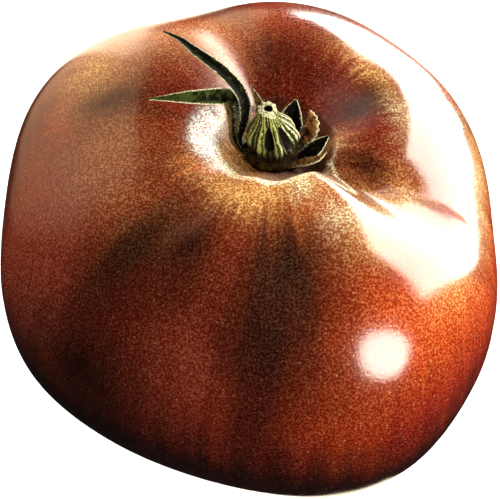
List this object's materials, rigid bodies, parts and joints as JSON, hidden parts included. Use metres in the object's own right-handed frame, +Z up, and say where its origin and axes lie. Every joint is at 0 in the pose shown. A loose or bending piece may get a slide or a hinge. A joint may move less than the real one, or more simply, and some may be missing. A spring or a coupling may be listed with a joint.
{
  "type": "black brandywine tomato",
  "caption": "Ripe dark heirloom tomato as picked: a lobed, furrowed fruit with a sunken stalk cup, a dried calyx and a ribbed stalk stub.",
  "frame": {"origin": "on the surface that the fruit rests on, under the middle of its outline seen from above", "axes": "+Z up through the stalk end, the fruit's shortest way; +Y away from the viewer of the front, the fruit's longest way"},
  "size_m": [0.0969, 0.1055, 0.0783],
  "materials": {
    "tomato_skin": "waxy glossy tomato skin, dusky brown-red with olive shoulders and fine gold specks",
    "sepal_green": "matt, dried, dark green sepals with pale rolled edges and fine hairs",
    "stalk_green": "matt, pale yellow-green ribbed stalk with dark furrows and a cream broken end"
  },
  "bodies": {
    "root": {"fruit": "tomato_skin", "calyx": "sepal_green", "pedicel": "stalk_green"}
  },
  "joints": []
}
